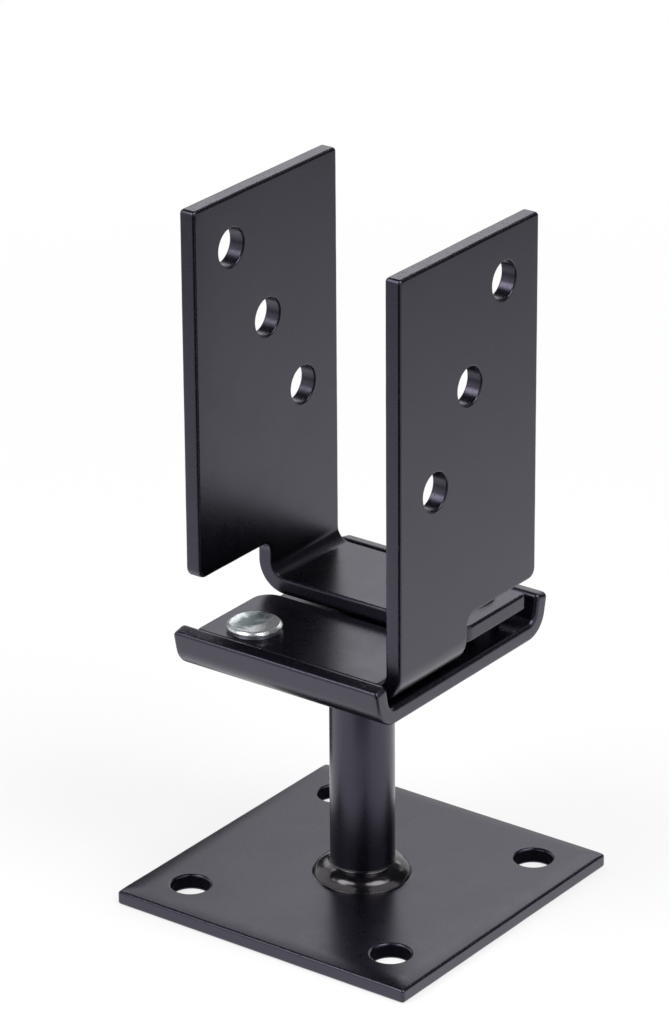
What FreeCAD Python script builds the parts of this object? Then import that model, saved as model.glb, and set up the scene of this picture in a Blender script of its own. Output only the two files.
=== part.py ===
import FreeCAD, Part
import math
import os

# Adjustable timber post base, in millimetres.  A square foot plate carries a
# round column with a shallow U channel welded across its top.  Two identical
# angle brackets slide in the channel and grip the post between their plates.
# +X runs along the channel, +Z is up, and the origin is the middle of the foot
# plate's underside.

# foot plate
base_side = 100.0
base_thickness = 4.5
base_hole_diameter = 11.0
base_hole_spacing = 70.0

# column and its welds
column_diameter = 18.6
floor_height = 79.0          # top of the channel floor above the ground
weld_leg = 4.9               # bead width measured on the plate
weld_height = 5.0            # bead height measured on the column
weld_toe_angle = 62.0        # degrees, steepness of the bead at the plate

# carrier channel
channel_length = 70.0
channel_margin = 8.6         # from a bracket's side to the outer top edge of a lip
channel_thickness = 5.0
channel_lip_height = 7.0     # lip top above the channel floor
channel_bend_radius = 3.0    # inside radius
lip_flare = 12.0             # degrees that each lip leans outwards

# angle brackets
clear_width = 63.0           # between the two plates, as set
bracket_width = 65.0
bracket_height = 124.0
bracket_thickness = 5.0
bracket_bend_radius = 4.0    # inside radius
foot_length = 70.0           # outer face of the plate to the foot's free end
foot_gap = 1.0               # between the two feet, across the middle
foot_inner_corner_radius = 6.0    # beside the middle of the channel
foot_outer_corner_radius = 1.5    # beside the lip
free_edge_height = 15.5      # underside of the foot up to the free half's edge
free_corner_radius = 3.0
notch_radius = 3.5

# post holes, on a diagonal of each plate
post_hole_diameter = 11.0
post_hole_count = 3
post_hole_step_across = 16.0
post_hole_step_down = 25.4
post_hole_from_top = 15.0

# clamping screws: carriage bolt, washer and nut
bolt_diameter = 6.0
bolt_end_proud = 0.4         # tip of the bolt below its nut
bolt_from_foot_end = 13.5
bolt_from_foot_side = 9.5
bolt_head_diameter = 15.8
bolt_rim_height = 1.8
bolt_rim_chamfer = 0.5
bolt_crown_height = 0.6      # crown above the rim
bolt_crown_flat = 8.0        # across the flat middle of the crown
bolt_neck_width = 6.2
bolt_neck_depth = 4.0
bolt_end_chamfer = 0.7
neck_clearance = 0.3         # each side of the square neck
slot_clearance = 0.5         # each side of the shank
bracket_travel = 25.0
washer_diameter = 12.0
washer_thickness = 0.8
nut_across_flats = 10.0
nut_height = 2.7
nut_corner_chamfer = 0.4
thread_clearance = 0.1       # on the radius of nut and washer holes
spacer_diameter = 18.0
spacer_thickness = 4.5

edge_break = 0.5             # small bevel along the edges of plates and folds

# places that follow from the sizes above
channel_width = bracket_width + 2 * channel_margin
channel_underside = floor_height - channel_thickness
nut_underside = channel_underside - washer_thickness - nut_height
plate_outer = clear_width / 2 + bracket_thickness
bolt_place = foot_length - plate_outer - bolt_from_foot_end
bolt_from_middle = bracket_width / 2 - bolt_from_foot_side
left_foot_height = floor_height + spacer_thickness
right_foot_height = floor_height
up = FreeCAD.Vector(0, 0, 1)
origin = FreeCAD.Vector(0, 0, 0)


def disc(radius, height, x, y, z):
    return Part.makeCylinder(radius, height, FreeCAD.Vector(x, y, z))


def ring(outer_radius, inner_radius, height, x, y, z):
    return disc(outer_radius, height, x, y, z).cut(disc(inner_radius, height, x, y, z))


def is_sharp(shape, edge):
    # An edge is sharp where the two faces that share it turn by more than 30 degrees.
    middle = edge.valueAt((edge.FirstParameter + edge.LastParameter) / 2)
    normals = []
    for face in shape.ancestorsOfType(edge, Part.Face):
        u, v = face.Surface.parameter(middle)
        normals.append(face.normalAt(u, v))
    return len(normals) == 2 and normals[0].getAngle(normals[1]) > math.radians(30)


def bevel_outline(shape, size):
    # Bevels every sharp edge.  Holes are cut afterwards, so that their rims stay crisp.
    sharp = [edge for edge in shape.Edges if is_sharp(shape, edge)]
    return shape.makeChamfer(size, sharp)


def folded_section(start, heading, legs, turns, thickness, inside_radius):
    # Section of a folded strip in the XZ plane.  The walk follows the outer side
    # of the folds: legs are straight lengths, turns are fold angles in degrees,
    # and the sheet's thickness lies to the left of the walk.
    def direction(degrees):
        return FreeCAD.Vector(math.cos(math.radians(degrees)), 0, math.sin(math.radians(degrees)))

    def offset(point, degrees):
        return point + direction(degrees + 90) * thickness

    outer_radius = inside_radius + thickness
    outer = []
    inner = []
    point = start
    for index, leg in enumerate(legs):
        far = point + direction(heading) * leg
        outer.append(Part.LineSegment(point, far).toShape())
        inner.append(Part.LineSegment(offset(point, heading), offset(far, heading)).toShape())
        point = far
        if index < len(turns):
            centre = point + direction(heading + 90) * outer_radius
            half_way = heading + turns[index] / 2
            heading_after = heading + turns[index]
            arcs = []
            for radius in (outer_radius, inside_radius):
                ends = [centre - direction(angle + 90) * radius
                        for angle in (heading, half_way, heading_after)]
                arcs.append(Part.Arc(*ends).toShape())
                if radius == outer_radius:
                    point = ends[2]
            outer.append(arcs[0])
            inner.append(arcs[1])
            heading = heading_after
    caps = [Part.LineSegment(start, inner[0].Vertexes[0].Point).toShape(),
            Part.LineSegment(point, inner[-1].Vertexes[-1].Point).toShape()]
    wire = Part.Wire(Part.__sortEdges__(outer + inner + caps))
    return Part.Face(wire)


def foot_plate():
    plate = Part.makeBox(base_side, base_side, base_thickness,
                         FreeCAD.Vector(-base_side / 2, -base_side / 2, 0))
    plate = bevel_outline(plate, edge_break)
    for x in (-base_hole_spacing / 2, base_hole_spacing / 2):
        for y in (-base_hole_spacing / 2, base_hole_spacing / 2):
            plate = plate.cut(disc(base_hole_diameter / 2, base_thickness, x, y, 0))
    return plate


def column():
    return disc(column_diameter / 2, channel_underside - base_thickness, 0, 0, base_thickness)


def weld_bead(z, side):
    # Convex bead in the corner between the column and a plate face at height z.
    # side is 1 for a bead that stands on the face and -1 for one that hangs under it.
    radius = column_diameter / 2
    toe_run = weld_height / 2 / math.tan(math.radians(weld_toe_angle))
    corners = [FreeCAD.Vector(radius, 0, z),
               FreeCAD.Vector(radius + weld_leg, 0, z),
               FreeCAD.Vector(radius + weld_leg - toe_run, 0, z + side * weld_height / 2),
               FreeCAD.Vector(radius, 0, z + side * weld_height)]
    section = Part.makePolygon(corners + corners[:1])
    return Part.Face(section).revolve(origin, up, 360)


def carrier_channel():
    fold = 90.0 - lip_flare
    outer_radius = channel_bend_radius + channel_thickness
    lean = math.radians(lip_flare)
    bend_rise = outer_radius * (1 - math.sin(lean))
    bend_reach = outer_radius * math.cos(lean)
    lip = (channel_lip_height + channel_thickness - bend_rise) / math.cos(lean)
    floor = channel_width - 2 * (lip * math.sin(lean) + bend_reach)
    start = FreeCAD.Vector(-channel_width / 2, 0, floor_height + channel_lip_height)
    section = folded_section(start, -fold, [lip, floor, lip], [fold, fold],
                             channel_thickness, channel_bend_radius)
    section.translate(FreeCAD.Vector(0, -channel_length / 2, 0))
    channel = section.extrude(FreeCAD.Vector(0, channel_length, 0))
    channel.rotate(origin, up, 90)
    slot = bolt_slot()
    opposite = slot.copy()
    opposite.rotate(origin, up, 180)
    return bevel_outline(channel, edge_break).cut([slot, opposite])


def bolt_slot():
    # Slot for the left bracket's bolt, with room for its shank over the whole travel.
    radius = bolt_diameter / 2 + slot_clearance
    near = disc(radius, channel_thickness, bolt_place - bracket_travel, bolt_from_middle,
                channel_underside)
    far = disc(radius, channel_thickness, bolt_place, bolt_from_middle, channel_underside)
    middle = Part.makeBox(bracket_travel, 2 * radius, channel_thickness,
                          FreeCAD.Vector(bolt_place - bracket_travel, bolt_from_middle - radius,
                                         channel_underside))
    return middle.fuse([near, far]).removeSplitter()


def notch_tool(foot_height):
    # Everything below the free half: its inner top corner is round, so that the
    # cut leaves a filleted notch beside the bend.
    edge = foot_gap / 2
    top = foot_height + free_edge_height
    depth = free_edge_height + bracket_thickness
    tool = Part.makeBox(2 * foot_length, bracket_width, depth,
                        FreeCAD.Vector(-plate_outer - foot_length / 2, edge - bracket_width,
                                       top - depth))
    corner = [item for item in tool.Edges if is_notch_corner(item, edge, top)]
    return tool.makeFillet(notch_radius, corner)


def is_notch_corner(item, y, z):
    return all(abs(end.Y - y) < 1e-6 and abs(end.Z - z) < 1e-6 for end in item.Vertexes)


def round_corners(shape, direction, places, radius):
    # Rounds the short thickness-wide edges that run along one direction at given places.
    chosen = []
    for edge in shape.Edges:
        ends = [vertex.Point for vertex in edge.Vertexes]
        if len(ends) != 2 or abs((ends[1] - ends[0]).normalize().dot(direction)) < 0.999:
            continue
        for place in places:
            gap = edge.CenterOfMass - place
            if (gap - direction * gap.dot(direction)).Length < 0.01:
                chosen.append(edge)
    return shape.makeFillet(radius, chosen)


def left_angle_bracket():
    foot_height = left_foot_height
    outer_radius = bracket_bend_radius + bracket_thickness
    start = FreeCAD.Vector(-plate_outer, -bracket_width / 2, foot_height + bracket_height)
    section = folded_section(start, -90, [bracket_height - outer_radius, foot_length - outer_radius],
                             [90], bracket_thickness, bracket_bend_radius)
    bracket = section.extrude(FreeCAD.Vector(0, bracket_width, 0))
    bracket = bracket.cut(notch_tool(foot_height))

    free_corner = FreeCAD.Vector(0, -bracket_width / 2, foot_height + free_edge_height)
    bracket = round_corners(bracket, FreeCAD.Vector(1, 0, 0), [free_corner], free_corner_radius)
    foot_end = foot_length - plate_outer
    for y, radius in ((foot_gap / 2, foot_inner_corner_radius),
                      (bracket_width / 2, foot_outer_corner_radius)):
        bracket = round_corners(bracket, up, [FreeCAD.Vector(foot_end, y, 0)], radius)
    bracket = bevel_outline(bracket, edge_break)

    for index in range(post_hole_count):
        y = (index - (post_hole_count - 1) / 2) * post_hole_step_across
        z = foot_height + bracket_height - post_hole_from_top - index * post_hole_step_down
        hole = Part.makeCylinder(post_hole_diameter / 2, bracket_thickness,
                                 FreeCAD.Vector(-plate_outer, y, z), FreeCAD.Vector(1, 0, 0))
        bracket = bracket.cut(hole)

    side = bolt_neck_width + 2 * neck_clearance
    neck_hole = Part.makeBox(side, side, bracket_thickness,
                             FreeCAD.Vector(bolt_place - side / 2, bolt_from_middle - side / 2,
                                            foot_height))
    return bracket.cut(neck_hole)


def carriage_bolt(foot_height):
    # Low crowned head on the foot, square neck in its hole, plain shank below.
    seat = foot_height + bracket_thickness
    rim = seat + bolt_rim_height
    crown = rim + bolt_crown_height
    tip = nut_underside - bolt_end_proud
    head_radius = bolt_head_diameter / 2
    shank_radius = bolt_diameter / 2
    corners = [FreeCAD.Vector(0, 0, tip),
               FreeCAD.Vector(shank_radius - bolt_end_chamfer, 0, tip),
               FreeCAD.Vector(shank_radius, 0, tip + bolt_end_chamfer),
               FreeCAD.Vector(shank_radius, 0, seat),
               FreeCAD.Vector(head_radius - bolt_rim_chamfer, 0, seat),
               FreeCAD.Vector(head_radius, 0, seat + bolt_rim_chamfer),
               FreeCAD.Vector(head_radius, 0, rim - bolt_rim_chamfer),
               FreeCAD.Vector(head_radius - bolt_rim_chamfer, 0, rim),
               FreeCAD.Vector(bolt_crown_flat / 2, 0, crown),
               FreeCAD.Vector(0, 0, crown)]
    turned = Part.Face(Part.makePolygon(corners + corners[:1])).revolve(origin, up, 360)
    neck = Part.makeBox(bolt_neck_width, bolt_neck_width, bolt_neck_depth,
                        FreeCAD.Vector(-bolt_neck_width / 2, -bolt_neck_width / 2,
                                       seat - bolt_neck_depth))
    bolt = turned.fuse(neck).removeSplitter()
    bolt.translate(FreeCAD.Vector(bolt_place, bolt_from_middle, 0))
    return bolt


def washer():
    return ring(washer_diameter / 2, bolt_diameter / 2 + thread_clearance, washer_thickness,
                bolt_place, bolt_from_middle, channel_underside - washer_thickness)


def hex_nut():
    corner_radius = nut_across_flats / math.sqrt(3)
    corners = []
    for index in range(7):
        angle = math.radians(60 * index)
        corners.append(FreeCAD.Vector(corner_radius * math.cos(angle),
                                      corner_radius * math.sin(angle), nut_underside))
    prism = Part.Face(Part.makePolygon(corners)).extrude(FreeCAD.Vector(0, 0, nut_height))
    blank = disc(corner_radius, nut_height, 0, 0, nut_underside)
    rims = [edge for edge in blank.Edges if len(edge.Vertexes) == 1]
    prism = prism.common(blank.makeChamfer(nut_corner_chamfer, rims))
    nut = prism.cut(disc(bolt_diameter / 2 + thread_clearance, nut_height, 0, 0, nut_underside))
    nut.translate(FreeCAD.Vector(bolt_place, bolt_from_middle, 0))
    return nut


def spacer():
    return ring(spacer_diameter / 2, bolt_diameter / 2 + slot_clearance, spacer_thickness,
                bolt_place, bolt_from_middle, floor_height)


def turned_about(shape, drop):
    # The right-hand piece is the left-hand one turned half a turn about the column.
    copy = shape.copy()
    copy.rotate(origin, up, 180)
    copy.translate(FreeCAD.Vector(0, 0, -drop))
    return copy


bracket = left_angle_bracket()
rise = left_foot_height - right_foot_height

nodes = {
    "base_plate": foot_plate(),
    "column": column(),
    "base_weld": weld_bead(base_thickness, 1),
    "head_weld": weld_bead(channel_underside, -1),
    "carrier_channel": carrier_channel(),
    "left_bracket": bracket,
    "left_carriage_bolt": carriage_bolt(left_foot_height),
    "left_spacer": spacer(),
    "left_washer": washer(),
    "left_nut": hex_nut(),
    "right_bracket": turned_about(bracket, rise),
    "right_carriage_bolt": turned_about(carriage_bolt(right_foot_height), 0),
    "right_washer": turned_about(washer(), 0),
    "right_nut": turned_about(hex_nut(), 0),
}

os.makedirs("parts", exist_ok=True)
for name, shape in nodes.items():
    shape.exportStep("parts/" + name + ".step")
    box = shape.BoundBox
    print(name, shape.isValid(), len(shape.Solids), round(shape.Volume, 1),
          [round(value, 2) for value in (box.XMin, box.YMin, box.ZMin, box.XMax, box.YMax, box.ZMax)])
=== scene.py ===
# Timber post base in satin black powder coat: a square foot plate, a welded column with a
# shallow carrier channel across its top, and two sliding angle brackets on carriage bolts.
import math
import bmesh
import bpy
from mathutils import Matrix, Vector, noise


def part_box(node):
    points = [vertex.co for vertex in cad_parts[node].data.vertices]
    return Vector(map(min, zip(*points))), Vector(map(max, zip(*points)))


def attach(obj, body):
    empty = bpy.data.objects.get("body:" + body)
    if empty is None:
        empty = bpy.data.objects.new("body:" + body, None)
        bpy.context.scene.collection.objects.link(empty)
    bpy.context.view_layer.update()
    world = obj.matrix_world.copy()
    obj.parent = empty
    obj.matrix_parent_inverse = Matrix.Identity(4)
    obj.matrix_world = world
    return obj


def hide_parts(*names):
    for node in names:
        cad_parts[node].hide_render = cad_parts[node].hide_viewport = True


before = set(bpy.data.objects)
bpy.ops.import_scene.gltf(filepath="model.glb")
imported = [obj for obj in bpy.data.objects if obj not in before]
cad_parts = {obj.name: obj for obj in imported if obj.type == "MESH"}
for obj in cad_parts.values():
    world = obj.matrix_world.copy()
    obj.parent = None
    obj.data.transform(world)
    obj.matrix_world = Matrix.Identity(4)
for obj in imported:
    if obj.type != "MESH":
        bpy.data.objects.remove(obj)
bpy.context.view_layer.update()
mm = 0.001
up = Vector((0, 0, 1))
print("frame loaded:", len(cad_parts), "nodes")


# node helpers
def addNode(tree, kind, inputs=None, **settings):
    node = tree.nodes.new(kind)
    for name, value in settings.items():
        setattr(node, name, value)
    for name, value in (inputs or {}).items():
        node.inputs[name].default_value = value
    return node


def wire(tree, source, target, outName=0, inName=0):
    tree.links.new(source.outputs[outName], target.inputs[inName])


def newGroup(name, inputs, outputs):
    tree = bpy.data.node_groups.new(name, "ShaderNodeTree")
    for label, kind, value in inputs:
        socket = tree.interface.new_socket(name=label, in_out="INPUT", socket_type=kind)
        if value is not None:
            socket.default_value = value
    for label, kind in outputs:
        tree.interface.new_socket(name=label, in_out="OUTPUT", socket_type=kind)
    start = tree.nodes.new("NodeGroupInput")
    end = tree.nodes.new("NodeGroupOutput")
    return tree, start, end


def placeGroup(tree, group, inputs=None):
    node = tree.nodes.new("ShaderNodeGroup")
    node.node_tree = group
    for name, value in (inputs or {}).items():
        node.inputs[name].default_value = value
    return node


def newMaterial(name):
    material = bpy.data.materials.new(name)
    material.use_nodes = True
    tree = material.node_tree
    tree.nodes.clear()
    shader = tree.nodes.new("ShaderNodeBsdfPrincipled")
    output = tree.nodes.new("ShaderNodeOutputMaterial")
    wire(tree, shader, output, "BSDF", "Surface")
    return material, tree, shader


# orange peel, slow waves and settled grains of a baked powder coat
def makeCoatGrain():
    tree, start, end = newGroup(
        "coatGrain",
        [("Vector", "NodeSocketVector", None), ("Peel Size", "NodeSocketFloat", 700.0),
         ("Peel Amount", "NodeSocketFloat", 0.5), ("Wave Amount", "NodeSocketFloat", 1.0),
         ("Grain Amount", "NodeSocketFloat", 0.5), ("Edge", "NodeSocketFloat", 0.0)],
        [("Height", "NodeSocketFloat"), ("Tone", "NodeSocketFloat"), ("Haze", "NodeSocketFloat")])
    peel = addNode(tree, "ShaderNodeTexNoise", {"Detail": 2.0, "Roughness": 0.5})
    wave = addNode(tree, "ShaderNodeTexNoise", {"Scale": 38.0, "Detail": 1.0})
    grains = addNode(tree, "ShaderNodeTexNoise", {"Scale": 1500.0, "Detail": 1.0})
    haze = addNode(tree, "ShaderNodeTexNoise", {"Scale": 90.0, "Detail": 4.0, "Roughness": 0.6})
    for texture in (peel, wave, grains, haze):
        wire(tree, start, texture, "Vector", "Vector")
    wire(tree, start, peel, "Peel Size", "Scale")
    grainMask = addNode(tree, "ShaderNodeMapRange", {"From Min": 0.62, "From Max": 0.72})
    wire(tree, grains, grainMask, 0, "Value")
    edgeGrain = addNode(tree, "ShaderNodeMath", operation="MULTIPLY")
    wire(tree, grainMask, edgeGrain)
    wire(tree, start, edgeGrain, "Edge", 1)
    peelPart = addNode(tree, "ShaderNodeMath", operation="MULTIPLY")
    wire(tree, peel, peelPart)
    wire(tree, start, peelPart, "Peel Amount", 1)
    wavePart = addNode(tree, "ShaderNodeMath", operation="MULTIPLY_ADD")
    wire(tree, wave, wavePart)
    wire(tree, start, wavePart, "Wave Amount", 1)
    wire(tree, peelPart, wavePart, 0, 2)
    height = addNode(tree, "ShaderNodeMath", operation="MULTIPLY_ADD")
    wire(tree, edgeGrain, height)
    wire(tree, start, height, "Grain Amount", 1)
    wire(tree, wavePart, height, 0, 2)
    wire(tree, height, end, 0, "Height")
    wire(tree, haze, end, 0, "Haze")
    tone = addNode(tree, "ShaderNodeMath", operation="MULTIPLY_ADD", inputs={1: 0.5})
    wire(tree, haze, tone)
    wire(tree, edgeGrain, tone, 0, 2)
    wire(tree, tone, end, 0, "Tone")
    return tree


# cloudy passivation and fine rolling marks of zinc plate
def makeZincCloud():
    tree, start, end = newGroup(
        "zincCloud",
        [("Vector", "NodeSocketVector", None), ("Cloud Size", "NodeSocketFloat", 260.0),
         ("Mark Size", "NodeSocketFloat", 1600.0)],
        [("Cloud", "NodeSocketFloat"), ("Marks", "NodeSocketFloat"), ("Height", "NodeSocketFloat")])
    cloud = addNode(tree, "ShaderNodeTexNoise", {"Detail": 5.0, "Roughness": 0.62, "Distortion": 0.6})
    marks = addNode(tree, "ShaderNodeTexNoise", {"Detail": 3.0, "Roughness": 0.7})
    for texture in (cloud, marks):
        wire(tree, start, texture, "Vector", "Vector")
    wire(tree, start, cloud, "Cloud Size", "Scale")
    wire(tree, start, marks, "Mark Size", "Scale")
    spread = addNode(tree, "ShaderNodeMapRange", {"From Min": 0.36, "From Max": 0.66})
    wire(tree, cloud, spread, 0, "Value")
    height = addNode(tree, "ShaderNodeMath", operation="MULTIPLY_ADD", inputs={1: 0.4})
    wire(tree, marks, height)
    wire(tree, cloud, height, 0, 2)
    wire(tree, spread, end, 0, "Cloud")
    wire(tree, marks, end, 0, "Marks")
    wire(tree, height, end, 0, "Height")
    return tree


coatGrain = makeCoatGrain()
zincCloud = makeZincCloud()


# materials
def coatMaterial(name, values):
    material, tree, shader = newMaterial(name)
    place = addNode(tree, "ShaderNodeTexCoord")
    edge = addNode(tree, "ShaderNodeAttribute", attribute_name="edge")
    grain = placeGroup(tree, coatGrain, {"Peel Size": values["peelSize"],
                                         "Peel Amount": values["peelAmount"],
                                         "Wave Amount": values["waveAmount"],
                                         "Grain Amount": values["grainAmount"]})
    wire(tree, place, grain, "Object", "Vector")
    wire(tree, edge, grain, "Fac", "Edge")
    colour = addNode(tree, "ShaderNodeMix", data_type="RGBA", clamp_factor=True)
    colour.inputs["A"].default_value = (*values["colour"], 1)
    colour.inputs["B"].default_value = (*values["dustColour"], 1)
    wire(tree, grain, colour, "Tone", "Factor")
    tree.links.new(colour.outputs["Result"], shader.inputs["Base Color"])
    rough = addNode(tree, "ShaderNodeMapRange", {"From Min": 0.3, "From Max": 0.7,
                                                 "To Min": values["roughness"][0],
                                                 "To Max": values["roughness"][1]})
    wire(tree, grain, rough, "Haze", "Value")
    wire(tree, rough, shader, 0, "Roughness")
    bump = addNode(tree, "ShaderNodeBump", {"Strength": values["bump"],
                                            "Distance": values["bumpDistance"]})
    wire(tree, grain, bump, "Height", "Height")
    wire(tree, bump, shader, "Normal", "Normal")
    shader.inputs["IOR"].default_value = values["ior"]
    shader.inputs["Specular Tint"].default_value = (*values["tint"], 1)
    return material


def zincMaterial(name, values):
    material, tree, shader = newMaterial(name)
    place = addNode(tree, "ShaderNodeTexCoord")
    cloud = placeGroup(tree, zincCloud, {"Cloud Size": values["cloudSize"],
                                         "Mark Size": values["markSize"]})
    wire(tree, place, cloud, "Object", "Vector")
    colour = addNode(tree, "ShaderNodeMix", data_type="RGBA")
    colour.inputs["A"].default_value = (*values["colour"], 1)
    colour.inputs["B"].default_value = (*values["cloudColour"], 1)
    wire(tree, cloud, colour, "Cloud", "Factor")
    # painted reflection: a dark patch painted into the zinc's colour on the right bolt's head, long and
    # ragged, standing in for a dark reflection
    away = addNode(tree, "ShaderNodeVectorMath", operation="SUBTRACT")
    wire(tree, place, away, "Object", 0)
    away.inputs[1].default_value = values["paintedReflectionPlace"]
    spread = addNode(tree, "ShaderNodeVectorMath", operation="MULTIPLY")
    wire(tree, away, spread)
    spread.inputs[1].default_value = [1 / reach for reach in values["paintedReflectionReach"]]
    distance = addNode(tree, "ShaderNodeVectorMath", operation="LENGTH")
    wire(tree, spread, distance)
    ragged = addNode(tree, "ShaderNodeMath", operation="MULTIPLY_ADD", inputs={1: values["paintedReflectionRagged"]})
    wire(tree, cloud, ragged, "Cloud")
    wire(tree, distance, ragged, "Value", 2)
    paintedReflection = addNode(tree, "ShaderNodeMapRange", {"From Min": values["paintedReflectionFade"][0],
                                                 "From Max": values["paintedReflectionFade"][1],
                                                 "To Min": 1.0, "To Max": 0.0})
    wire(tree, ragged, paintedReflection, 0, "Value")
    withPaintedReflection = addNode(tree, "ShaderNodeMix", data_type="RGBA", clamp_factor=True)
    withPaintedReflection.inputs["B"].default_value = (*values["paintedReflectionColour"], 1)
    wire(tree, paintedReflection, withPaintedReflection, 0, "Factor")
    tree.links.new(colour.outputs["Result"], withPaintedReflection.inputs["A"])
    tree.links.new(withPaintedReflection.outputs["Result"], shader.inputs["Base Color"])
    rough = addNode(tree, "ShaderNodeMapRange", {"From Min": 0.3, "From Max": 0.7,
                                                 "To Min": values["roughness"][0],
                                                 "To Max": values["roughness"][1]})
    wire(tree, cloud, rough, "Marks", "Value")
    wire(tree, rough, shader, 0, "Roughness")
    bump = addNode(tree, "ShaderNodeBump", {"Strength": values["bump"],
                                            "Distance": values["bumpDistance"]})
    wire(tree, cloud, bump, "Height", "Height")
    wire(tree, bump, shader, "Normal", "Normal")
    shader.inputs["Metallic"].default_value = values["metallic"]
    return material


coatFinish = {
    "colour": (0.0012, 0.001, 0.0022),
    "dustColour": (0.004, 0.0035, 0.006),
    "tint": (0.79, 0.73, 1.0),
    "ior": 1.65,
    "roughness": (0.25, 0.3),
    "peelSize": 480.0,
    "peelAmount": 0.25,
    "waveAmount": 2.0,
    "grainAmount": 2.5,
    "bump": 0.2,
    "bumpDistance": 0.00006,
}
weldFinish = dict(coatFinish, roughness=(0.13, 0.22), peelSize=260.0, peelAmount=1.0, grainAmount=0.0,
                  tint=(1.0, 0.93, 0.97))
zincFinish = {
    "colour": (0.82, 0.83, 0.85),
    "cloudColour": (0.6, 0.64, 0.65),
    "roughness": (0.2, 0.28),
    "cloudSize": 220.0,
    "markSize": 1500.0,
    # place, reaches, raggedness, fade and colour of the dark reflection painted on the right bolt's head
    "paintedReflectionPlace": (-0.0222, -0.0224, 0.0862),
    "paintedReflectionReach": (0.003, 0.006, 0.004),
    "paintedReflectionRagged": 1.1,
    "paintedReflectionFade": (1.2, 2.1),    # full up to the first, gone at the second, in reaches
    "paintedReflectionColour": (0.1, 0.13, 0.14),
    "metallic": 0.78,
    "bump": 0.05,
    "bumpDistance": 0.00004,
}
blackCoat = coatMaterial("blackPowderCoat", coatFinish)
coatedWeld = coatMaterial("coatedWeldBead", weldFinish)
zincPlate = zincMaterial("brightZincPlate", zincFinish)
print("materials made")


# outlines in the sheet's flat pattern, in millimetres
straightStep = 2.5     # spacing of points along straight edges


def roundedOutline(corners, arcStep=9):
    # corners run anticlockwise as (x, y, corner radius)
    points = []
    for index, (x, y, radius) in enumerate(corners):
        here = Vector((x, y))
        back = (Vector(corners[index - 1][:2]) - here).normalized()
        on = (Vector(corners[(index + 1) % len(corners)][:2]) - here).normalized()
        if radius == 0:
            points.append(here)
            continue
        half = back.angle(on) / 2
        centre = here + (back + on).normalized() * radius / math.sin(half)
        first = here + back * radius / math.tan(half) - centre
        last = here + on * radius / math.tan(half) - centre
        sweep = math.atan2(first.x * last.y - first.y * last.x, first.dot(last))
        steps = max(3, round(abs(math.degrees(sweep)) / arcStep))
        for step in range(steps + 1):
            points.append(centre + Matrix.Rotation(sweep * step / steps, 2) @ first)
    return points


def holeOutline(x, y, radius, steps=72):
    # clockwise, so that the sheet lies to its left
    return [Vector((x + radius * math.cos(-2 * math.pi * step / steps),
                    y + radius * math.sin(-2 * math.pi * step / steps))) for step in range(steps)]


def slotOutline(x, yFrom, yTo, radius, steps=24):
    points = []
    for middle, start in ((yFrom, 0.0), (yTo, math.pi)):
        for step in range(steps + 1):
            angle = start - math.pi * step / steps
            points.append(Vector((x + radius * math.cos(angle), middle + radius * math.sin(angle))))
    return points


def longEdgesDivided(points):
    # more points on straight runs, so that a cut edge can wander a little
    out = []
    for index, point in enumerate(points):
        out.append(point)
        after = points[(index + 1) % len(points)]
        count = int((after - point).length // straightStep)
        for part in range(1, count):
            out.append(point.lerp(after, part / count))
    return out


# sheet metal
cutEdge = {
    "roundSteps": 5,           # faces across each rounded edge
    "wanderScale": 0.16,       # waves per millimetre along the edge
    "wanderSeed": 3.1,
}


def sheetMesh(loops, thickness, wander):
    # loops are (points, lower edge radius, upper edge radius); every edge is a quarter round
    bm = bmesh.new()
    edgeLayer = bm.verts.layers.float.new("edge")
    lowerRim = []
    upperRim = []
    steps = cutEdge["roundSteps"]
    seed = cutEdge["wanderSeed"]
    for points, lowRadius, highRadius in loops:
        count = len(points)
        normals = []
        for index, point in enumerate(points):
            before = (point - points[index - 1]).normalized()
            after = (points[(index + 1) % count] - point).normalized()
            one = Vector((-before.y, before.x))
            two = Vector((-after.y, after.x))
            normals.append((one + two) / (1 + one.dot(two)))
        profile = []
        for step in range(steps + 1):
            turn = math.pi / 2 * step / steps
            profile.append((lowRadius * (1 - math.sin(turn)), lowRadius * (1 - math.cos(turn))))
        for step in range(steps, -1, -1):
            turn = math.pi / 2 * step / steps
            profile.append((highRadius * (1 - math.sin(turn)),
                            thickness - highRadius * (1 - math.cos(turn))))
        rings = []
        for number, (inset, rise) in enumerate(profile):
            ring = []
            for point, normal in zip(points, normals):
                spot = Vector((point.x, point.y, seed)) * cutEdge["wanderScale"]
                sway = wander * (0.5 + 0.5 * noise.noise(spot))
                place = point + normal * (inset + sway)
                vertex = bm.verts.new((place.x, place.y, rise))
                vertex[edgeLayer] = 1.0 if 0 < number < 2 * steps + 1 else 0.0
                ring.append(vertex)
            rings.append(ring)
        for low, high in zip(rings, rings[1:]):
            for index in range(count):
                following = (index + 1) % count
                bm.faces.new((low[index], low[following], high[following], high[index]))
        for rim, ring in ((lowerRim, rings[0]), (upperRim, rings[-1])):
            for index in range(count):
                rim.append(bm.edges.get((ring[index], ring[(index + 1) % count])))
    bmesh.ops.triangle_fill(bm, use_beauty=True, edges=lowerRim)
    bmesh.ops.triangle_fill(bm, use_beauty=True, edges=upperRim)
    return bm


def cutAcross(bm, places, normal=(1, 0, 0)):
    # cuts the flat pattern along straight lines, where folds and rolls need rows of faces
    for place in places:
        geometry = bm.verts[:] + bm.edges[:] + bm.faces[:]
        bmesh.ops.bisect_plane(bm, geom=geometry, dist=1e-5, plane_co=Vector(normal) * place,
                               plane_no=normal)


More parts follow.
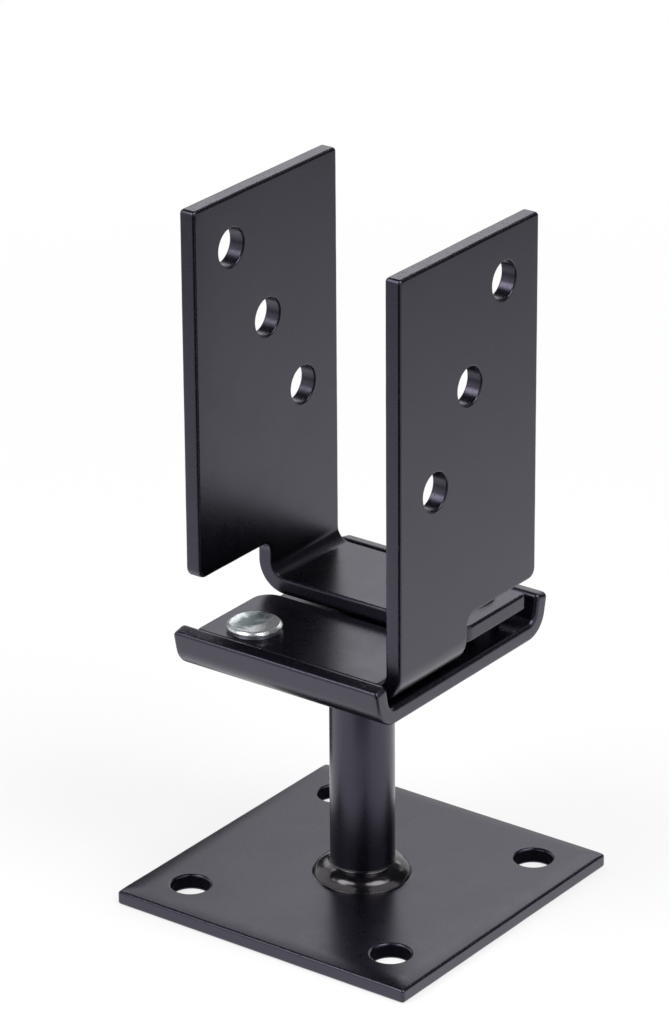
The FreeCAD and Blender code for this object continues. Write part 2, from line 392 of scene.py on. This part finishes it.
def foldedPlace(along, rise, fold):
    # where a point of the flat pattern goes: along is measured on the sheet's middle,
    # rise from its outer side, and the sheet folds towards its inner side
    point = Vector(fold["start"])
    heading = fold["heading"]
    outerRadius = fold["insideRadius"] + fold["thickness"]
    middleRadius = fold["insideRadius"] + fold["thickness"] / 2

    def towards(degrees):
        return Vector((math.cos(math.radians(degrees)), math.sin(math.radians(degrees))))

    for index, leg in enumerate(fold["legs"]):
        lastLeg = index == len(fold["legs"]) - 1
        if along <= leg or lastLeg:
            return point + towards(heading) * along + towards(heading + 90) * rise
        along -= leg
        point = point + towards(heading) * leg
        turn = fold["turns"][index]
        arc = math.radians(turn) * middleRadius
        centre = point + towards(heading + 90) * outerRadius
        if along <= arc:
            angle = heading + math.degrees(along / middleRadius)
            return centre - towards(angle + 90) * (outerRadius - rise)
        along -= arc
        heading += turn
        point = centre - towards(heading + 90) * outerRadius


def foldRows(fold, step=7.5):
    rows = []
    along = 0.0
    middleRadius = fold["insideRadius"] + fold["thickness"] / 2
    for leg, turn in zip(fold["legs"], fold["turns"]):
        along += leg
        arc = math.radians(turn) * middleRadius
        count = round(turn / step)
        rows += [along + arc * part / count for part in range(count + 1)]
        along += arc
    return rows


def finishMesh(bm, name, sharpAngle=None):
    bmesh.ops.recalc_face_normals(bm, faces=bm.faces)
    for face in bm.faces:
        face.smooth = True
    for vertex in bm.verts:
        vertex.co *= mm
    mesh = bpy.data.meshes.new(name)
    bm.to_mesh(mesh)
    bm.free()
    if sharpAngle:
        mesh.set_sharp_from_angle(angle=math.radians(sharpAngle))
    piece = bpy.data.objects.new(name, mesh)
    bpy.context.scene.collection.objects.link(piece)
    return piece


def evenNormals(piece):
    weighted = piece.modifiers.new("evenNormals", "WEIGHTED_NORMAL")
    weighted.mode = "FACE_AREA_WITH_ANGLE"
    weighted.weight = 50
    weighted.keep_sharp = True


def dress(piece, material, slot, body, *nodes):
    piece.data.materials.clear()
    piece.data.materials.append(material)
    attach(piece, body)
    if nodes:
        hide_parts(*nodes)


# foot plate
footPlate = {
    "side": 100.0,
    "thickness": 4.5,
    "cornerRadius": 1.1,
    "edgeRadius": 0.8,
    "rollWidth": 6.0,           # sheared edge: the top rolls down towards it
    "rollDepth": 0.5,
    "rollRows": 6,
    "cornerRoll": 1.2,          # most that a corner rolls, in roll depths
    "holeDiameter": 11.0,
    "holeSpacing": 70.0,
    "holeRimRadius": 0.8,
    "holeFootRadius": 0.15,
    "wander": 0.12,
}


def makeFootPlate():
    v = footPlate
    half = v["side"] / 2
    corner = v["cornerRadius"]
    outline = roundedOutline([(-half, -half, corner), (half, -half, corner),
                              (half, half, corner), (-half, half, corner)], arcStep=15)
    loops = [(longEdgesDivided(outline), v["edgeRadius"], v["edgeRadius"])]
    for x in (-v["holeSpacing"] / 2, v["holeSpacing"] / 2):
        for y in (-v["holeSpacing"] / 2, v["holeSpacing"] / 2):
            hole = holeOutline(x, y, v["holeDiameter"] / 2)
            loops.append((hole, v["holeFootRadius"], v["holeRimRadius"]))
    bm = sheetMesh(loops, v["thickness"], v["wander"])
    rows = [side * (half - v["rollWidth"] * (row + 1) / v["rollRows"])
            for side in (-1, 1) for row in range(v["rollRows"])]
    cutAcross(bm, rows)
    cutAcross(bm, rows, (0, 1, 0))
    for vertex in bm.verts:
        reach = [max(0.0, 1 - (half - abs(place)) / v["rollWidth"]) ** 2 for place in vertex.co[:2]]
        drop = v["rollDepth"] * min(v["cornerRoll"], math.hypot(*reach))
        vertex.co.z -= drop * max(0.0, 2 * vertex.co.z / v["thickness"] - 1)
    piece = finishMesh(bm, "footPlate")
    evenNormals(piece)
    dress(piece, blackCoat, "black_coat", "base", "base_plate")


makeFootPlate()
print("foot plate made")


# turned pieces
def turnedMesh(profile, segments, radiusAt=None):
    # profile is (radius, height); points on the axis close the ends
    bm = bmesh.new()
    bm.verts.layers.float.new("edge")
    rings = []
    for radius, rise in profile:
        if radius == 0:
            rings.append([bm.verts.new((0, 0, rise))])
            continue
        ring = []
        for step in range(segments):
            turn = 2 * math.pi * step / segments
            here = radiusAt(radius, rise, turn) if radiusAt else radius
            ring.append(bm.verts.new((here * math.cos(turn), here * math.sin(turn), rise)))
        rings.append(ring)
    for low, high in zip(rings, rings[1:]):
        for step in range(segments):
            after = (step + 1) % segments
            if len(low) == 1:
                bm.faces.new((low[0], high[after], high[step]))
            elif len(high) == 1:
                bm.faces.new((low[step], low[after], high[0]))
            else:
                bm.faces.new((low[step], low[after], high[after], high[step]))
    return bm


def shiftMesh(bm, x, y):
    for vertex in bm.verts:
        vertex.co += Vector((x, y, 0))


columnBar = {
    "diameter": 18.6,
    "segments": 128,
    "rows": 12,
}


def makeColumn():
    v = columnBar
    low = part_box("column")[0].z / mm
    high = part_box("column")[1].z / mm
    radius = v["diameter"] / 2
    rows = v["rows"]
    profile = [(0, low)] + [(radius, low + (high - low) * row / rows) for row in range(rows + 1)]
    profile.append((0, high))
    piece = finishMesh(turnedMesh(profile, v["segments"]), "column", sharpAngle=40)
    dress(piece, blackCoat, "black_coat", "base", "column")


makeColumn()
print("column made")


# weld beads
weldBead = {
    "radius": 9.3,
    # section of the bead as (out from the column, height): tight neck, full lower roll
    "section": [(0.0, 5.0), (0.12, 4.5), (0.45, 4.2), (1.2, 3.92), (2.1, 3.5), (3.0, 2.92),
                (3.8, 2.15), (4.4, 1.3), (4.75, 0.55), (4.86, 0.2), (4.98, 0.04), (5.2, 0.0)],
    "lump": 0.16,              # slow unevenness round the bead
    "lumpScale": 3.1,
    "lumpLean": 0.2,           # how lumps and ripples shift with height, per millimetre
    "ripple": 0.004,           # faint ripples of the pass
    "ripples": 30,
    "rippleLean": 1.2,
    "reach": (0.985, 0.05, 1.6, 0),  # share of the section's reach, its sway, scale and shift
    "lift": (0.94, 0.1, 1.2, 5),     # the same for its height
    "overlap": 0.1,            # how far the bead goes into the column
    "segments": 240,
    "rows": 40,
}


def smoothSection(points, rows):
    # points of a smooth curve through the section's points, evenly spread over its spans
    out = []
    last = len(points) - 1
    for row in range(rows + 1):
        along = last * row / rows
        span = min(int(along), last - 1)
        part = along - span
        around = [Vector(points[min(max(span + shift, 0), last)]) for shift in (-1, 0, 1, 2)]
        p0, p1, p2, p3 = around
        out.append(0.5 * (2 * p1 + (p2 - p0) * part + (2 * p0 - 5 * p1 + 4 * p2 - p3) * part ** 2
                          + (3 * p1 - p0 - 3 * p2 + p3) * part ** 3))
    return out


def swayed(around, share, sway, scale, shift):
    return share + sway * noise.noise(around * scale + Vector((shift, 0, 0)))


def makeWeld(name, node, side, seed):
    v = weldBead
    lowest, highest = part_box(node)
    foot = (lowest.z if side > 0 else highest.z) / mm
    section = smoothSection(v["section"], v["rows"])
    tall = v["section"][0][1]
    bm = bmesh.new()
    bm.verts.layers.float.new("edge")
    rings = []
    for out, rise in section:
        ring = []
        for step in range(v["segments"]):
            turn = 2 * math.pi * step / v["segments"]
            around = Vector((math.cos(turn), math.sin(turn), seed))
            full = math.sin(math.pi * min(rise / tall, 1.0))
            lump = noise.noise(around * v["lumpScale"] + Vector((0, 0, rise * v["lumpLean"])))
            ripple = math.sin(turn * v["ripples"] + rise * v["rippleLean"])
            push = full * (v["lump"] * lump + v["ripple"] * ripple)
            reach = v["radius"] + max(out * swayed(around, *v["reach"]) + push, -v["overlap"] / 2)
            lift = max(rise * swayed(around, *v["lift"]) + push, 0.0)
            ring.append(bm.verts.new((reach * math.cos(turn), reach * math.sin(turn),
                                      foot + side * min(lift, tall))))
        rings.append(ring)
    # the inner wall and the flat foot close the bead
    for closed in (section[-1].y, tall):
        inner = v["radius"] - v["overlap"]
        ring = [bm.verts.new((inner * math.cos(2 * math.pi * step / v["segments"]),
                              inner * math.sin(2 * math.pi * step / v["segments"]),
                              foot + side * closed)) for step in range(v["segments"])]
        rings.append(ring)
    rings.append(rings[0])
    for low, high in zip(rings, rings[1:]):
        for step in range(v["segments"]):
            after = (step + 1) % v["segments"]
            bm.faces.new((low[step], low[after], high[after], high[step]))
    piece = finishMesh(bm, name, sharpAngle=75)
    dress(piece, coatedWeld, "coated_weld", "base", node)


makeWeld("baseWeldBead", "base_weld", side=1, seed=0.3)
makeWeld("headWeldBead", "head_weld", side=-1, seed=2.7)
print("weld beads made")


# carrier channel
carrier = {
    "length": 70.0,
    "width": 82.2,
    "thickness": 5.0,
    "lipHeight": 7.0,
    "insideRadius": 3.0,
    "lipFlare": 12.0,
    "cornerRadius": 1.6,
    "outerEdgeRadius": 0.9,
    "innerEdgeRadius": 1.4,
    "slotRadius": 3.5,
    "slotRimRadius": 0.4,
    "slotTravel": 25.0,
    "wander": 0.1,
}
# where the bolts stand at rest, from the middle of the channel
screw = {
    "x": 20.0,
    "y": 23.0,
}


def makeChannel():
    v = carrier
    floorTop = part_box("carrier_channel")[0].z / mm + v["thickness"]
    bend = 90.0 - v["lipFlare"]
    outerRadius = v["insideRadius"] + v["thickness"]
    lean = math.radians(v["lipFlare"])
    bendRise = outerRadius * (1 - math.sin(lean))
    bendReach = outerRadius * math.cos(lean)
    lip = (v["lipHeight"] + v["thickness"] - bendRise) / math.cos(lean)
    floor = v["width"] - 2 * (lip * math.sin(lean) + bendReach)
    arc = math.radians(bend) * (v["insideRadius"] + v["thickness"] / 2)
    whole = 2 * lip + 2 * arc + floor
    fold = {"start": (-v["width"] / 2, floorTop + v["lipHeight"]), "heading": -bend,
            "legs": [lip, floor, lip], "turns": [bend, bend],
            "insideRadius": v["insideRadius"], "thickness": v["thickness"]}
    half = v["length"] / 2
    corner = v["cornerRadius"]
    outline = roundedOutline([(0, -half, corner), (whole, -half, corner),
                              (whole, half, corner), (0, half, corner)], arcStep=15)
    loops = [(longEdgesDivided(outline), v["outerEdgeRadius"], v["innerEdgeRadius"])]
    middle = whole / 2
    for side in (-1, 1):
        ends = sorted((side * screw["x"], side * (screw["x"] - v["slotTravel"])))
        slot = slotOutline(middle + side * screw["y"], ends[0], ends[1], v["slotRadius"])
        loops.append((slot, v["slotRimRadius"], v["slotRimRadius"]))
    bm = sheetMesh(loops, v["thickness"], v["wander"])
    cutAcross(bm, foldRows(fold))
    for vertex in bm.verts:
        across, rise = foldedPlace(vertex.co.x, vertex.co.z, fold)
        vertex.co = Vector((vertex.co.y, across, rise))
    piece = finishMesh(bm, "carrierChannel")
    evenNormals(piece)
    dress(piece, blackCoat, "black_coat", "base", "carrier_channel")


makeChannel()
print("carrier channel made")


# angle brackets
angleBracket = {
    "width": 65.0,
    "height": 124.0,
    "thickness": 5.0,
    "insideRadius": 4.0,
    "footLength": 70.0,
    "footGap": 1.0,
    "footInnerCorner": 6.0,
    "footOuterCorner": 1.5,
    "topCornerRadius": 1.3,
    "freeEdgeHeight": 15.5,
    "freeCornerRadius": 3.0,
    "notchRadius": 3.5,
    "edgeRadius": 0.9,
    "holeDiameter": 11.0,
    "holeStepAcross": 16.0,
    "holeStepDown": 25.4,
    "holeFromTop": 15.0,
    "holeRimRadius": 0.5,
    "neckHole": 6.8,
    "neckCornerRadius": 0.5,
    "neckRimRadius": 0.3,
    "wander": 0.1,
}


def makeBracket(name, node, turned):
    v = angleBracket
    low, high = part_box(node)
    outerFace = (low.x if not turned else -high.x) / mm
    foot = low.z / mm
    outerRadius = v["insideRadius"] + v["thickness"]
    arc = math.pi / 2 * (v["insideRadius"] + v["thickness"] / 2)
    plate = v["height"] - outerRadius
    whole = plate + arc + v["footLength"] - outerRadius
    fold = {"start": (outerFace, foot + v["height"]), "heading": -90,
            "legs": [plate, v["footLength"] - outerRadius], "turns": [90],
            "insideRadius": v["insideRadius"], "thickness": v["thickness"]}
    half = v["width"] / 2
    edge = v["footGap"] / 2
    freeEdge = v["height"] - v["freeEdgeHeight"]
    outline = roundedOutline([(0, -half, v["topCornerRadius"]),
                              (freeEdge, -half, v["freeCornerRadius"]),
                              (freeEdge, edge, v["notchRadius"]),
                              (whole, edge, v["footInnerCorner"]),
                              (whole, half, v["footOuterCorner"]),
                              (0, half, v["topCornerRadius"])])
    loops = [(longEdgesDivided(outline), v["edgeRadius"], v["edgeRadius"])]
    for index in (-1, 0, 1):
        down = v["holeFromTop"] + (index + 1) * v["holeStepDown"]
        hole = holeOutline(down, index * v["holeStepAcross"], v["holeDiameter"] / 2)
        loops.append((hole, v["holeRimRadius"], v["holeRimRadius"]))
    neck = plate + arc + screw["x"] - outerFace - outerRadius
    side = v["neckHole"] / 2
    corners = ((-1, -1), (1, -1), (1, 1), (-1, 1))
    square = roundedOutline([(neck + x * side, screw["y"] + y * side, v["neckCornerRadius"])
                             for x, y in corners])
    loops.append((square[::-1], v["neckRimRadius"], v["neckRimRadius"]))
    bm = sheetMesh(loops, v["thickness"], v["wander"])
    cutAcross(bm, foldRows(fold))
    for vertex in bm.verts:
        out, rise = foldedPlace(vertex.co.x, vertex.co.z, fold)
        vertex.co = Vector((out, vertex.co.y, rise))
        if turned:
            vertex.co = Vector((-vertex.co.x, -vertex.co.y, vertex.co.z))
    piece = finishMesh(bm, name)
    evenNormals(piece)
    body = "right_grip" if turned else "left_grip"
    dress(piece, blackCoat, "black_coat", body, node)


makeBracket("leftAngleBracket", "left_bracket", turned=False)
makeBracket("rightAngleBracket", "right_bracket", turned=True)
print("angle brackets made")


# carriage bolts
carriageBolt = {
    "headDiameter": 15.8,
    "height": 2.4,
    "headRoom": 0.2,
    "rimRound": 0.55,
    "rimArc": (-40, 50),        # degrees from level
    "rimSteps": 5,
    # underside of the head as (inside the rim, above the seat)
    "underside": [(0.9, 0.0), (0.3, 0.12)],
    # top of the head as (radius, below its highest ring): a shallow dish inside a low shoulder
    "top": [(7.45, 0.3), (7.2, 0.11), (6.8, 0.0), (6.2, 0.02), (5.0, 0.08), (3.4, 0.15),
            (1.6, 0.2), (0.0, 0.21)],
    "topRows": 28,
    "rimDrop": 0.1,             # from the edge of the top to the rim
    "shankDiameter": 6.0,
    "neckWidth": 6.2,
    "neckDepth": 4.0,
    "threadPitch": 1.0,
    "threadDepth": 0.55,
    "rowsPerPitch": 6,
    "tipChamfer": 0.7,
    "shankSegments": 48,
    "segments": 144,
}


def makeBolt(name, node, side):
    v = carriageBolt
    low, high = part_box(node)
    top = high.z / mm - v["headRoom"]
    seat = high.z / mm - v["height"]
    tip = low.z / mm
    radius = v["headDiameter"] / 2
    shank = v["shankDiameter"] / 2
    roundness = v["rimRound"]
    rim = top - v["top"][0][1] - v["rimDrop"]
    profile = [(0, seat)] + [(radius - inside, seat + rise) for inside, rise in v["underside"]]
    arcFrom, arcTo = v["rimArc"]
    for step in range(v["rimSteps"] + 1):
        turn = math.radians(arcFrom + (arcTo - arcFrom) * step / v["rimSteps"])
        profile.append((radius - roundness + roundness * math.cos(turn),
                        rim - roundness + roundness * math.sin(turn)))
    profile += [(max(0.0, out), top - max(0.0, fall))
                for out, fall in smoothSection(v["top"], v["topRows"])]
    head = turnedMesh(profile, v["segments"])
    # square neck and threaded shank
    neck = Matrix.Translation((0, 0, seat - v["neckDepth"] / 2))
    neck = neck @ Matrix.Diagonal((v["neckWidth"], v["neckWidth"], v["neckDepth"], 1))
    bmesh.ops.create_cube(head, size=1, matrix=neck)
    rows = int((seat - tip) / v["threadPitch"] * v["rowsPerPitch"])
    start = tip + v["tipChamfer"]
    shankProfile = [(0, tip), (shank - v["tipChamfer"], tip)]
    shankProfile += [(shank, start + (seat - start) * row / rows) for row in range(rows + 1)]
    shankProfile.append((0, seat))

    def threaded(base, rise, turn):
        if base < shank:
            return base
        phase = (rise / v["threadPitch"] - turn / (2 * math.pi)) % 1
        return base - v["threadDepth"] * abs(2 * phase - 1)

    thread = turnedMesh(shankProfile, v["shankSegments"], threaded)
    joined = bpy.data.meshes.new("thread")
    thread.to_mesh(joined)
    thread.free()
    head.from_mesh(joined)
    bpy.data.meshes.remove(joined)
    shiftMesh(head, side * screw["x"], side * screw["y"])
    piece = finishMesh(head, name, sharpAngle=50)
    body = "left_grip" if side > 0 else "right_grip"
    dress(piece, zincPlate, "zinc_plate", body, node)


makeBolt("leftCarriageBolt", "left_carriage_bolt", side=1)
makeBolt("rightCarriageBolt", "right_carriage_bolt", side=-1)
print("carriage bolts made")

for nodeName, material in (("left_washer", zincPlate), ("left_nut", zincPlate),
                           ("right_washer", zincPlate), ("right_nut", zincPlate),
                           ("left_spacer", blackCoat)):
    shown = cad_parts[nodeName]
    shown.data.materials.clear()
    shown.data.materials.append(material)
print("small fasteners dressed")


# floor, light and camera
studio = {
    "floorSize": 12.0,
    "floorColour": (0.9, 0.9, 0.9),
    "shadowShare": 0.3,         # how much of the floor's own shading shows beside the object
    "shadowReach": (0.1, 0.6),  # full at the first distance, gone at the second
    "paintedPoolNear": 1.35,           # painted pool of light: how brightly the floor glows for gloss close to the object
    "paintedPoolFar": 0.45,            # and far from it
    "paintedPoolReach": (0.1, 0.7),    # where near ends and far begins
    "ambient": 0.45,
    "flagGlow": 0.05,           # black flags round the table
    "aim": (0, 0, 0.1),
}
# places round the table are an azimuth in degrees and a reach in metres
softBoxes = {
    "leftSoftBox": {"azimuth": -120, "reach": 0.62, "height": 0.82, "size": (0.5, 0.5), "power": 4.6},
    "rightSoftBox": {"azimuth": 0, "reach": 0.52, "height": 0.9, "size": (0.55, 0.55), "power": 5.6},
    "backStrip": {"azimuth": 126.5, "reach": 0.8, "height": 0.6, "size": (1.0, 0.22), "power": 1.0},
}
standingFlags = {
    "rightRearFlag": {"azimuth": 53, "reach": 1.0, "width": 0.75, "low": 0.03, "high": 1.15},
    "frontFlag": {"azimuth": -53.5, "reach": 1.05, "width": 0.8, "low": 0.0, "high": 1.15},
    "leftRearFlag": {"azimuth": 149, "reach": 0.68, "width": 0.38, "low": 0.05, "high": 0.36},
}
# cards that lie on the table, each with its height and its corners
tableFlags = {
    "tableFlag": (0.001, [(-78.5, 0.13), (-28.5, 0.13), (-15.5, 1.1), (-91.5, 1.1)]),
    "rearTableFlag": (0.001, [(150, 0.085), (182, 0.085), (182, 1.0), (150, 1.0)]),
}
levelFlags = {
    # half a side and the height: one over the table, and one on the ground under the foot plate, which
    # is painted shade: a dark sheet only gloss sees through the holes, so the hole walls mirror darkness
    # where shade falls under the plate
    "ceilingFlag": (1.4, 1.15),
    "paintedShadeUnderPlate": (0.048, 0.0004),
}
cameraView = {
    "sensor": 36.0,
    "lens": 177.67,
    "place": (0.75436, -1.03337, 0.67904),
    "turn": (66.2615, 0.3571, 36.3019),     # degrees about x, y and z
}


def seenDirectly(tree):
    # 1 for camera, glossy and transmission rays, so that gloss shows the same background as the camera;
    # on the floor gloss sees the painted pool of light instead of plain white
    path = addNode(tree, "ShaderNodeLightPath")
    two = addNode(tree, "ShaderNodeMath", operation="ADD")
    wire(tree, path, two, "Is Camera Ray", 0)
    wire(tree, path, two, "Is Glossy Ray", 1)
    three = addNode(tree, "ShaderNodeMath", operation="ADD", use_clamp=True)
    wire(tree, two, three)
    wire(tree, path, three, "Is Transmission Ray", 1)
    return path, three


def makeFloor():
    v = studio
    bm = bmesh.new()
    bmesh.ops.create_grid(bm, x_segments=2, y_segments=2, size=v["floorSize"] / 2)
    mesh = bpy.data.meshes.new("studioFloor")
    bm.to_mesh(mesh)
    bm.free()
    floor = bpy.data.objects.new("studioFloor", mesh)
    bpy.context.scene.collection.objects.link(floor)
    material = bpy.data.materials.new("paleFloor")
    material.use_nodes = True
    tree = material.node_tree
    tree.nodes.clear()
    output = addNode(tree, "ShaderNodeOutputMaterial")
    diffuse = addNode(tree, "ShaderNodeBsdfDiffuse", {"Color": (*v["floorColour"], 1)})
    white = addNode(tree, "ShaderNodeEmission", {"Color": (1, 1, 1, 1), "Strength": 1.0})
    path, seen = seenDirectly(tree)
    # painted pool of light: the floor glows for gloss, brighter than white close to the object and
    # fading away from it
    place = addNode(tree, "ShaderNodeTexCoord")
    reach = addNode(tree, "ShaderNodeVectorMath", operation="LENGTH")
    wire(tree, place, reach, "Object", 0)
    paintedPool = addNode(tree, "ShaderNodeMapRange", {"From Min": v["paintedPoolReach"][0],
                                                "From Max": v["paintedPoolReach"][1],
                                                "To Min": v["paintedPoolNear"], "To Max": v["paintedPoolFar"]})
    wire(tree, reach, paintedPool, "Value", "Value")
    strength = addNode(tree, "ShaderNodeMix", data_type="FLOAT")
    strength.inputs["B"].default_value = 1.0
    wire(tree, path, strength, "Is Camera Ray", "Factor")
    wire(tree, paintedPool, strength, 0, "A")
    wire(tree, strength, white, "Result", "Strength")
    plain = addNode(tree, "ShaderNodeMapRange", {"From Min": v["shadowReach"][0],
                                                 "From Max": v["shadowReach"][1],
                                                 "To Min": 1 - v["shadowShare"], "To Max": 1.0})
    wire(tree, reach, plain, "Value", "Value")
    share = addNode(tree, "ShaderNodeMath", operation="MULTIPLY")
    wire(tree, seen, share)
    wire(tree, plain, share, 0, 1)
    mix = addNode(tree, "ShaderNodeMixShader")
    wire(tree, share, mix, 0, 0)
    wire(tree, diffuse, mix, 0, 1)
    wire(tree, white, mix, 0, 2)
    wire(tree, mix, output, 0, "Surface")
    floor.data.materials.append(material)


def makeWorld():
    world = bpy.data.worlds.new("softRoom")
    bpy.context.scene.world = world
    world.use_nodes = True
    tree = world.node_tree
    tree.nodes.clear()
    output = addNode(tree, "ShaderNodeOutputWorld")
    ambient = addNode(tree, "ShaderNodeBackground", {"Color": (1, 1, 1, 1),
                                                     "Strength": studio["ambient"]})
    white = addNode(tree, "ShaderNodeBackground", {"Color": (1, 1, 1, 1), "Strength": 1.0})
    seen = seenDirectly(tree)[1]
    mix = addNode(tree, "ShaderNodeMixShader")
    wire(tree, seen, mix, 0, 0)
    wire(tree, ambient, mix, 0, 1)
    wire(tree, white, mix, 0, 2)
    wire(tree, mix, output, 0, "Surface")


def roundAbout(azimuth, reach, height):
    turn = math.radians(azimuth)
    return Vector((reach * math.cos(turn), reach * math.sin(turn), height))


def softBox(name, v):
    place = roundAbout(v["azimuth"], v["reach"], v["height"])
    data = bpy.data.lights.new(name, "AREA")
    data.shape = "RECTANGLE"
    data.size, data.size_y = v["size"]
    data.energy = v["power"]
    light = bpy.data.objects.new(name, data)
    light.location = place
    light.rotation_euler = (Vector(studio["aim"]) - place).to_track_quat("-Z", "Y").to_euler()
    bpy.context.scene.collection.objects.link(light)


def blackFlag(name, corners):
    # a dark card that only gloss sees, to shape what the coat mirrors
    bm = bmesh.new()
    bm.faces.new([bm.verts.new(corner) for corner in corners])
    mesh = bpy.data.meshes.new(name)
    bm.to_mesh(mesh)
    bm.free()
    flag = bpy.data.objects.new(name, mesh)
    bpy.context.scene.collection.objects.link(flag)
    material = bpy.data.materials.get("blackFlag")
    if not material:
        material = bpy.data.materials.new("blackFlag")
        material.use_nodes = True
        tree = material.node_tree
        tree.nodes.clear()
        output = addNode(tree, "ShaderNodeOutputMaterial")
        glow = addNode(tree, "ShaderNodeEmission", {"Color": (0.9, 0.9, 1, 1),
                                                    "Strength": studio["flagGlow"]})
        wire(tree, glow, output, 0, "Surface")
    flag.data.materials.append(material)
    flag.visible_camera = False
    flag.visible_diffuse = False
    flag.visible_shadow = False
    flag.visible_transmission = False


def standingFlag(name, v):
    middle = roundAbout(v["azimuth"], v["reach"], 0)
    across = roundAbout(v["azimuth"] + 90, v["width"] / 2, 0)
    bottom = up * v["low"]
    top = up * v["high"]
    blackFlag(name, [middle - across + bottom, middle + across + bottom,
                     middle + across + top, middle - across + top])


def makeCamera():
    data = bpy.data.cameras.new("camera")
    data.sensor_width = cameraView["sensor"]
    data.lens = cameraView["lens"]
    data.clip_start = 0.05
    data.clip_end = 50.0
    camera = bpy.data.objects.new("camera", data)
    camera.location = cameraView["place"]
    camera.rotation_euler = [math.radians(angle) for angle in cameraView["turn"]]
    bpy.context.scene.collection.objects.link(camera)
    bpy.context.scene.camera = camera


makeFloor()
makeWorld()
for name, values in softBoxes.items():
    softBox(name, values)
for name, values in standingFlags.items():
    standingFlag(name, values)
for name, (height, corners) in tableFlags.items():
    blackFlag(name, [roundAbout(azimuth, reach, height) for azimuth, reach in corners])
for name, (half, height) in levelFlags.items():
    blackFlag(name, [(-half, -half, height), (half, -half, height),
                     (half, half, height), (-half, half, height)])
makeCamera()
bpy.context.scene.view_settings.view_transform = "Standard"

print("floor, light and camera set")
